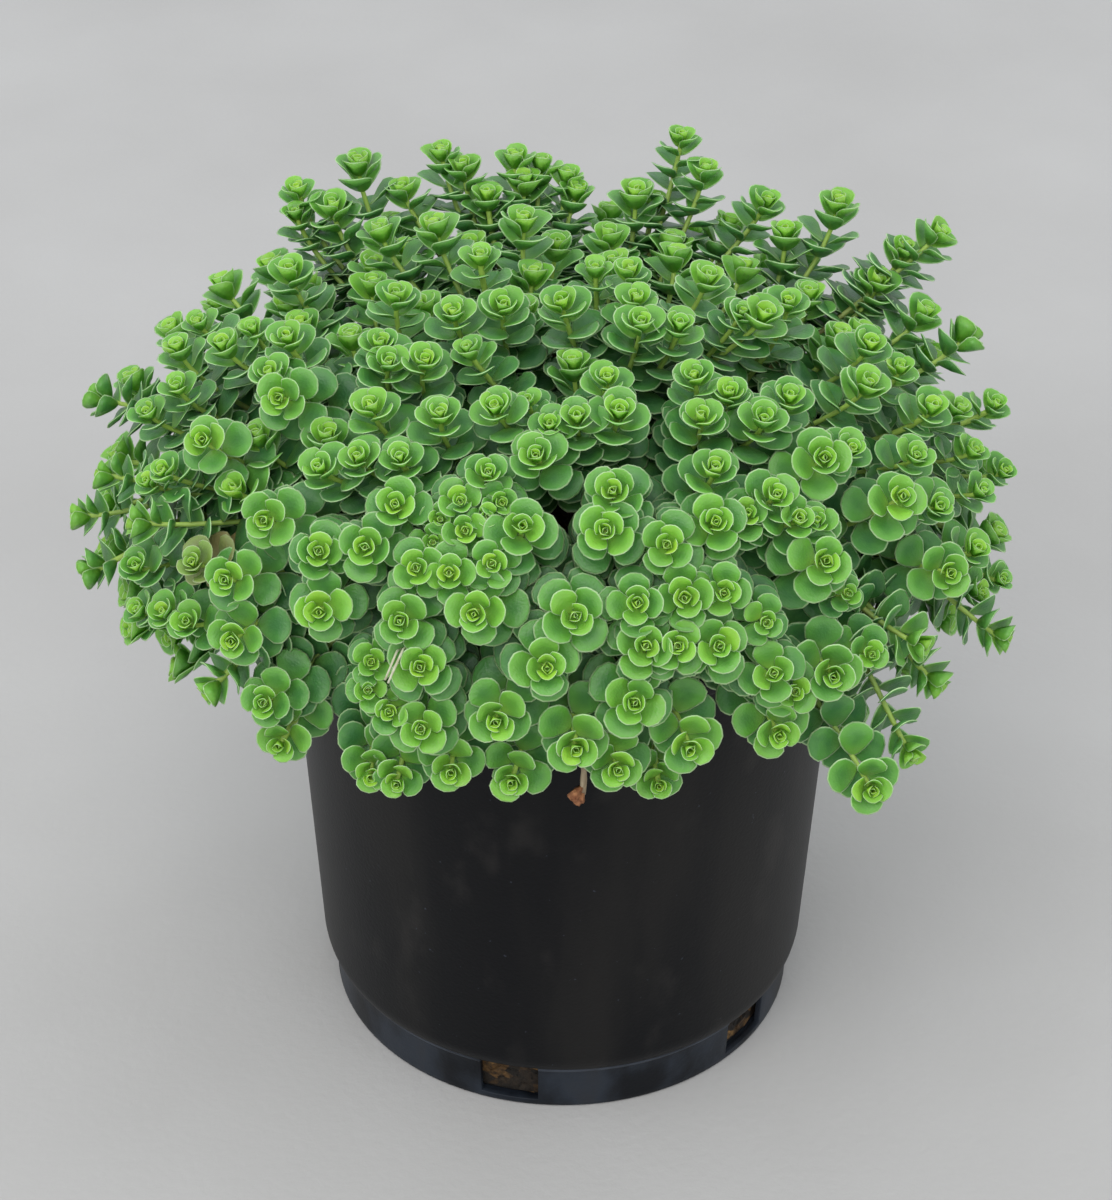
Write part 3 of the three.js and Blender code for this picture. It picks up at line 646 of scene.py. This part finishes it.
# The leaf pairs of a shoot, from the bud down: the stem between them on an upright shoot and on one that faces
# the viewpoint, the leaves' lengths in millimetres, their lean from the axis, how they curl and cup, and their age
UPRIGHT_GAPS = np.array([0.4, 0.5, 0.7, 1.0, 1.6, 2.8, 3.8, 4.3, 4.5, 4.7, 4.9, 5.1, 5.2, 5.2])
FACING_GAPS = np.array([0.4, 0.6, 0.9, 1.2, 1.6, 2.0, 2.4, 2.7, 3.0, 3.3, 3.6, 3.9, 4.2, 4.5])
PAIR_LENGTHS = np.array([2.2, 3.7, 5.5, 7.4, 8.9, 9.9, 10.5, 10.9, 11.3, 11.8, 12.4, 12.8, 13.0, 13.0])
PAIR_LEANS = np.radians([14.0, 20.0, 28.0, 36.0, 45.0, 53.0, 60.0, 65.0, 69.0, 73.0, 77.0, 80.0, 80.0, 80.0])
PAIR_CURLS = np.array([0.35, 0.26, 0.16, 0.08, 0.04, 0.02, 0.0, 0.0, 0.0, -0.02, -0.04, -0.05, -0.05, -0.05])
PAIR_CUPS = np.array([2.0, 1.85, 1.4, 1.0, 0.8, 0.68, 0.6, 0.55, 0.5, 0.45, 0.4, 0.35, 0.3, 0.3])
PAIR_AGES = np.array([0.0, 0.06, 0.14, 0.24, 0.36, 0.48, 0.6, 0.72, 0.83, 0.92, 1.0, 1.0, 1.0, 1.0])


def leaves(foot, outward, axis, lean, length, curl, cup, thickness):
    """One leaf at each foot, in whole arrays. With a along the leaf and b across it in leaf lengths, its upper
    side rises by length * (curl * a^2 + cup * b^2) from the plane that leans that far from the axis."""
    side = np.cross(axis, outward)
    forward = outward * np.sin(lean)[:, None] + axis * np.cos(lean)[:, None]
    upper = axis * np.sin(lean)[:, None] - outward * np.cos(lean)[:, None]
    a, b = LEAF[None, :, 0], LEAF[None, :, 1]
    hollow = curl[:, None] * a**2 + cup[:, None] * b**2
    rise = length[:, None] * hollow - thickness[:, None] * LEAF_DEPTH[None]
    points = (
        foot[:, None]
        + (length[:, None] * a)[..., None] * forward[:, None]
        + (length[:, None] * b)[..., None] * side[:, None]
        + rise[..., None] * upper[:, None]
    )
    offsets = len(LEAF) * np.arange(len(foot))[:, None, None]
    quads, triangles = LEAF_QUADS[None] + offsets, LEAF_TRIANGLES[None] + offsets
    return points.reshape(-1, 3), quads.reshape(-1, 4), triangles.reshape(-1, 3)


def face_on(shoot):
    """How squarely a shoot's leaves face the picture's viewpoint, from 0 for the upright ones of the crown and the
    far side to 1 for those of the near side and for the large ones that lie along the mound."""
    if shoot["lying"]:
        return 1.0 if shoot["width"] >= WIDE else 0.2
    if shoot["seen"] is None:
        return 0.0
    return float(np.clip((-shoot["tip"][1] - 62.0) / 30.0, 0, 1))


def sunk_behind(line, shoot):
    """The line of a shoot whose leaves face the viewpoint, set back from it behind them: by up to 7 mm times how
    squarely they face it, as sin(pi * s / 45) at s mm back from the tip."""
    steps = np.linalg.norm(np.diff(line, axis=0), axis=1)
    back = np.append(np.cumsum(steps[::-1])[::-1], 0.0)
    depth = 7.0 * face_on(shoot) * np.sin(np.pi * np.clip(back / min(45.0, back[0]), 0, 1))
    return line - depth[:, None] * unit(EYE - shoot["tip"])


def leafy_shoot(line, shoot, rng):
    """The leaf pairs of one shoot, down its line from the bud: each pair turned a right angle from the last. The
    rosette's width sets the young leaves' size in full and the old ones' by half, and the leaf axis leans from the
    line's direction towards the viewpoint by how squarely the shoot faces it."""
    size = min(shoot["width"], WIDE) / PIXELS_PER_MM / 16.0 + 0.008 * max(0.0, shoot["width"] - WIDE)
    size *= 1.15 if shoot["tip"][1] > 40 or shoot["seen"] is None else 1.0
    older = np.clip(PAIR_AGES * 1.5, 0, 1)
    scale = size * (1 - older) + (0.5 + 0.5 * size) * older
    facing = face_on(shoot)
    gaps = UPRIGHT_GAPS if shoot["lying"] else UPRIGHT_GAPS * (1 - facing) + FACING_GAPS * facing
    back = np.cumsum(gaps * (0.4 + 0.6 * size) * rng.uniform(0.9, 1.12, len(gaps)))
    lengths = np.append(0.0, np.cumsum(np.linalg.norm(np.diff(line, axis=0), axis=1)))
    kept = back < lengths[-1] - 4.0
    at = np.interp(lengths[-1] - back[kept], lengths, np.arange(len(line)))
    direction = unit(np.gradient(line, axis=0))
    index = at.astype(int)
    part = (at - index)[:, None]
    beyond = np.minimum(index + 1, len(line) - 1)
    foot = line[index] * (1 - part) + line[beyond] * part
    pairs = np.arange(kept.sum())
    first_turn = np.pi / 4 if shoot["lying"] else rng.uniform(0, 2 * np.pi)
    turn = first_turn + pairs * (np.pi / 2 + 0.03) + rng.normal(0, 0.09, len(pairs))
    to_eye = unit(EYE - shoot["tip"])
    lift = 0.3 * older[kept][:, None] + (0.0 if shoot["lying"] else 0.7 * (1 - facing))
    axis = unit(direction[index] + (1.1 if shoot["lying"] else 1.5) * facing * to_eye + lift * UP)
    level = unit(np.cross(direction[-1], to_eye))
    level = unit(level - (axis @ level)[:, None] * axis)
    outward = np.cos(turn)[:, None] * level + np.sin(turn)[:, None] * np.cross(axis, level)
    axis, outward = np.repeat(axis, 2, 0), np.stack([outward, -outward], 1).reshape(-1, 3)
    both = np.repeat(pairs, 2)
    count = len(both)
    lean = np.minimum(PAIR_LEANS[both] * (1 + 0.3 * facing), 1.43) + rng.normal(0, 0.07, count)
    length = PAIR_LENGTHS[both] * scale[both] * rng.uniform(0.92, 1.06, count)
    curl = PAIR_CURLS[both] + rng.normal(0, 0.04, count)
    cup = PAIR_CUPS[both] * rng.uniform(0.8, 1.2, count)
    points, quads, triangles = leaves(
        np.repeat(foot, 2, 0) + outward * 0.5, outward, axis, lean, length, curl, cup, 0.08 * length + 0.15,
    )
    numbers = {
        "age": np.repeat(np.clip(PAIR_AGES[both] + rng.normal(0, 0.05, count), 0, 1), len(LEAF)),
        "margin": np.tile(LEAF_MARGIN, count),
        "along": np.tile(LEAF[:, 0], count),
        "tint": np.repeat(rng.uniform(0, 1, count), len(LEAF)),
    }
    return points, quads, triangles, numbers


def leafy_stem(clump, rng):
    """All of one rooted stem: its main line and branches as tubes, and the leaves of each of its shoots."""
    main = shoot_line(clump[0])
    length = np.linalg.norm(np.diff(main, axis=0), axis=1).sum()
    joint = (1 - 1.5 * clump[0]["core"] / length) / 4
    points, quads, triangles, leaf_count = [], [], [], []
    numbers = {"age": [], "margin": [], "along": [], "tint": [], "fade": []}
    start = 0
    for order, shoot in enumerate(clump):
        line = main if order == 0 else branch_line(main, shoot_line(shoot), joint * (1 + (order - 1) % 2))
        line = sunk_behind(line, shoot)
        thick = 1.2 if order == 0 else 0.95
        stalk = evenly(line, np.append(np.linspace(0, 0.97, 15), 0.995))
        radii = thick * np.append(np.linspace(1.0, 0.72, 15), 0.3)
        tube_points, tube_quads, tube_fans = tube(stalk, radii, 6)
        age = np.concatenate([np.repeat(np.linspace(1.0, 0.0, 16), 6), [1.0, 0.0]])
        blank = np.zeros(len(tube_points))
        leaf_points, leaf_quads, leaf_triangles, leaf_numbers = leafy_shoot(line, shoot, rng)
        withers = shoot["seen"] == WITHERING_TIP
        fading = 0.1 + 0.8 * leaf_numbers["age"] if withers else 0.0 * leaf_numbers["age"]
        points += [tube_points, leaf_points]
        quads += [tube_quads + start, leaf_quads + start + len(tube_points)]
        triangles += [tube_fans + start, leaf_triangles + start + len(tube_points)]
        leaf_count += [len(tube_quads), len(leaf_quads), len(tube_fans), len(leaf_triangles)]
        for label, values in (("age", age), ("margin", blank), ("along", blank), ("tint", blank + 0.5)):
            numbers[label] += [values, leaf_numbers[label]]
        numbers["fade"] += [blank, fading]
        start += len(tube_points) + len(leaf_points)
    counts = np.array(leaf_count).reshape(-1, 4)
    material = np.concatenate(
        [np.repeat([1, 0], pair) for pair in counts[:, :2]] + [np.repeat([1, 0], pair) for pair in counts[:, 2:]]
    )
    faces = [np.concatenate(quads), np.concatenate(triangles)]
    numbers = {label: np.concatenate(values) for label, values in numbers.items()}
    return np.concatenate(points), faces, material, numbers


def value_of(tree, label):
    """The number that the mesh carries under that name."""
    return node(tree, "Attribute", {}, attribute_name=label).outputs["Fac"]


green_leaf, tree, shader = made_of("stonecrop_leaf", 0.42)
place = node(tree, "TexCoord", {}).outputs["Object"]
age, margin, along = value_of(tree, "age"), value_of(tree, "margin"), value_of(tree, "along")
tint, fade = value_of(tree, "tint"), value_of(tree, "fade")
blotches = noise(tree, place, 190.0, 4.0)
by_age = colours(tree, age, [
    (0.0, (0.43, 0.72, 0.06)), (0.2, (0.285, 0.62, 0.06)), (0.42, (0.165, 0.45, 0.056)),
    (0.7, (0.086, 0.29, 0.054)), (1.0, (0.052, 0.185, 0.045)),
])
# Older leaves are darkened towards bluish green in the middle of the blade, fading out towards the margin: painted
# shade in the cup's hollow.
in_middle = product(tree, ramp(tree, margin, 0.1, 0.87, 0.5, 0.0), ramp(tree, age, 0.12, 0.5))
painted_cup_shade = mixed(tree, in_middle, by_age, (0.025, 0.13, 0.05, 1))
darker = mixed(tree, ramp(tree, tint, 0.0, 1.0, 0.0, 0.28), painted_cup_shade, (0.05, 0.2, 0.045, 1))
mottled = mixed(tree, ramp(tree, blotches, 0.4, 0.75, 0.0, 0.3), darker, (0.2, 0.5, 0.1, 1))
near_foot = product(tree, ramp(tree, along, 0.05, 0.45, 0.5, 0.0), ramp(tree, age, 0.2, 0.7, 1.0, 0.3))
from_foot = mixed(tree, near_foot, mottled, (0.38, 0.58, 0.09, 1))
on_rim = product(tree, ramp(tree, margin, 0.9, 0.965), ramp(tree, blotches, 0.25, 0.6, 0.45, 1.0))
rimmed = mixed(tree, on_rim, from_foot, (0.56, 0.8, 0.4, 1))
faded = mixed(tree, fade, rimmed, (0.3, 0.2, 0.09, 1))
tree.links.new(faded, shader.inputs["Base Color"])
fine = noise(tree, place, 1500.0, 3.0)
rough = node(tree, "MapRange", {"Value": fine, "To Min": 0.26, "To Max": 0.46}).outputs["Result"]
tree.links.new(rough, shader.inputs["Roughness"])
shader.inputs["Subsurface Weight"].default_value = 0.12
shader.inputs["Subsurface Radius"].default_value = (0.4, 1.0, 0.15)
shader.inputs["Subsurface Scale"].default_value = 0.0015
uneven = node(tree, "Math", {0: fine, 1: blotches}, operation="ADD").outputs["Value"]
bumped(tree, shader, uneven, 0.00025, 0.7)

fleshy_stem, tree, shader = made_of("stonecrop_stem", 0.5)
place = node(tree, "TexCoord", {}).outputs["Object"]
by_age = colours(tree, value_of(tree, "age"), [
    (0.0, (0.42, 0.6, 0.1)), (0.4, (0.34, 0.5, 0.1)), (0.7, (0.32, 0.26, 0.1)), (1.0, (0.16, 0.09, 0.05)),
])
patches = noise(tree, place, 400.0, 3.0)
patched = mixed(tree, ramp(tree, patches, 0.4, 0.8, 0.0, 0.25), by_age, (0.12, 0.09, 0.04, 1))
tree.links.new(patched, shader.inputs["Base Color"])
bumped(tree, shader, patches, 0.0002)

for number, clump in enumerate(clumps_of(all_shoots()), 1):
    points, faces, material_numbers, numbers = leafy_stem(clump, np.random.default_rng(100 + number))
    materials = [green_leaf, fleshy_stem]
    stem = surface(f"leafy_stem_{number:02d}", points, faces, materials, material_numbers, **numbers)
    stand_for(stem, f"stonecrop_stem_{number:02d}")

# Withered stem
# One dead stem that bends over the front of the rim, tan and dry, broken off short, with a shrivelled orange
# leaf at its end. It is rooted in the soil like the living ones.

dead_leaf, tree, shader = made_of("shrivelled_leaf", 0.8)
place = node(tree, "TexCoord", {}).outputs["Object"]
wrinkles = noise(tree, place, 600.0, 5.0)
orange = colours(tree, wrinkles, [(0.3, (0.22, 0.07, 0.025)), (0.7, (0.62, 0.27, 0.12))])
tree.links.new(orange, shader.inputs["Base Color"])
bumped(tree, shader, wrinkles, 0.0006)



def fibrous(name, roughness, dark, light):
    """A dry stem's material: two colours in noise that is drawn out along the stem, and its bump."""
    material, tree, shader = made_of(name, roughness)
    place = node(tree, "TexCoord", {}).outputs["Object"]
    fibres = noise(tree, place, 700.0, 4.0, (1.0, 1.0, 0.25))
    tree.links.new(colours(tree, fibres, [(0.3, dark), (0.7, light)]), shader.inputs["Base Color"])
    bumped(tree, shader, fibres, 0.0003)
    return material


dry_stem = fibrous("dry_stem", 0.75, (0.2, 0.13, 0.07), (0.5, 0.4, 0.26))

rng = np.random.default_rng(5)
dead_line = bezier(*np.array([[5, -77, SOIL_START], [5, -77, SOIL_START + 33.0], [6.5, -97, 176], [5.5, -93, 139]]))
dead_rings = 24
dead_points, dead_quads, dead_fans = tube(
    evenly(dead_line, np.linspace(0, 1, dead_rings)), 0.9 + 0.15 * rng.normal(size=dead_rings), 8,
)
feet = evenly(dead_line, [0.95, 0.98, 1.0])
outward = unit(np.array([[-1.0, -0.5, 0.1], [-0.6, -0.8, 0.2], [-0.9, -0.6, -0.3]]))
axis = unit(np.cross(outward, np.cross([0, 0, -1.0], outward)))
leaf_points, leaf_quads, leaf_triangles = leaves(
    feet, outward, axis, np.radians([80.0, 60.0, 95.0]), np.array([4.8, 3.0, 3.2]),
    np.array([0.5, 0.7, 0.6]), np.array([1.6, 1.8, 1.5]), np.array([0.5, 0.4, 0.4]),
)
counts = [len(dead_quads), len(leaf_quads), len(dead_fans), len(leaf_triangles)]
faces = [
    np.concatenate([dead_quads, leaf_quads + len(dead_points)]),
    np.concatenate([dead_fans, leaf_triangles + len(dead_points)]),
]
withered = surface(
    "withered_stem_and_leaf", np.vstack([dead_points, leaf_points]), faces, [dry_stem, dead_leaf],
    np.repeat([0, 1, 0, 1], counts),
)
stand_for(withered, "withered_stem")

# Dry stalks
# Two pale flower stalks left from last season, dry and bare, standing from one foot on the left front. Their
# ends are bent over and hang out between the leaves.

straw = fibrous("pale_straw", 0.7, (0.46, 0.44, 0.27), (0.74, 0.74, 0.56))
stalk_shoots = [seen_shoot(397, 651, USUAL_WIDTH), seen_shoot(403, 649, USUAL_WIDTH)]
for shoot in stalk_shoots:
    shoot["foot"] = foot_below(shoot["tip"])
stalk_lines = [shoot_line(shoot) for shoot in stalk_shoots]
stalk_lines[1] = branch_line(stalk_lines[0], stalk_lines[1], 0.25)
bent_ends = [on_mound(385, 680, -5.0), on_mound(388, 683, -5.0)]
stalk_rings = 48
points, quads, fans, start = [], [], [], 0
for line, end in zip(stalk_lines, bent_ends):
    top = line[-1] + 3.0 * unit(EYE - line[-1])
    over = bezier(line[-2], top, top + 0.3 * (end - top), end, 20)
    line = np.vstack([line[:-2], over])
    radii = np.linspace(0.62, 0.3, stalk_rings) * rng.uniform(0.85, 1.15, stalk_rings)
    tube_points, tube_quads, tube_fans = tube(evenly(line, np.linspace(0, 1, stalk_rings)), radii, 7)
    points.append(tube_points)
    quads.append(tube_quads + start)
    fans.append(tube_fans + start)
    start += len(tube_points)
faces = [np.concatenate(quads), np.concatenate(fans)]
stalks = surface("dry_flower_stalks", np.concatenate(points), faces, [straw])
stand_for(stalks, "dry_stalks")

# Setting
# A plain pale floor, soft light from a pale sky and a broad lamp overhead, and the picture's own viewpoint.

floor_paint, tree, shader = made_of("pale_floor", 0.9)
place = node(tree, "TexCoord", {}).outputs["Object"]
cloud = noise(tree, place, 6.0, 5.0)
pale = colours(tree, cloud, [(0.3, (0.5, 0.48, 0.46)), (0.7, (0.56, 0.54, 0.52))])
tree.links.new(pale, shader.inputs["Base Color"])
bumped(tree, shader, noise(tree, place, 300.0, 4.0), 0.0004, 0.5)
half = 4000.0
floor = surface(
    "floor", np.array([[-half, -half, 0], [half, -half, 0], [half, half, 0], [-half, half, 0]]),
    [np.array([[0, 1, 2, 3]])], [floor_paint],
)

sky = bpy.data.worlds.new("pale_sky")
sky.use_nodes = True
sky.node_tree.nodes["Background"].inputs["Color"].default_value = (0.9, 0.95, 1.0, 1)
sky.node_tree.nodes["Background"].inputs["Strength"].default_value = 0.95
bpy.context.scene.world = sky

lamp = bpy.data.objects.new("overhead_lamp", bpy.data.lights.new("overhead_lamp", "AREA"))
lamp.data.shape = "DISK"
lamp.data.size = 1.6
lamp.data.energy = 14.0
lamp.location = (-0.35, -1.15, 1.65)
lamp.rotation_euler = (Vector((0, 0, 0.15)) - lamp.location).to_track_quat("-Z", "Y").to_euler()
bpy.context.scene.collection.objects.link(lamp)

camera = bpy.data.objects.new("viewpoint", bpy.data.cameras.new("viewpoint"))
forward, right, above = sight_axes()
camera.matrix_world = Matrix([
    [right[0], above[0], -forward[0], EYE[0] * 0.001],
    [right[1], above[1], -forward[1], EYE[1] * 0.001],
    [right[2], above[2], -forward[2], EYE[2] * 0.001],
    [0, 0, 0, 1],
])
camera.data.sensor_width = 36.0
camera.data.lens = FOCAL_LENGTH / PICTURE_HEIGHT * camera.data.sensor_width
camera.data.clip_start, camera.data.clip_end = 0.05, 20.0
bpy.context.scene.collection.objects.link(camera)
bpy.context.scene.camera = camera
bpy.context.scene.view_settings.view_transform = "Standard"
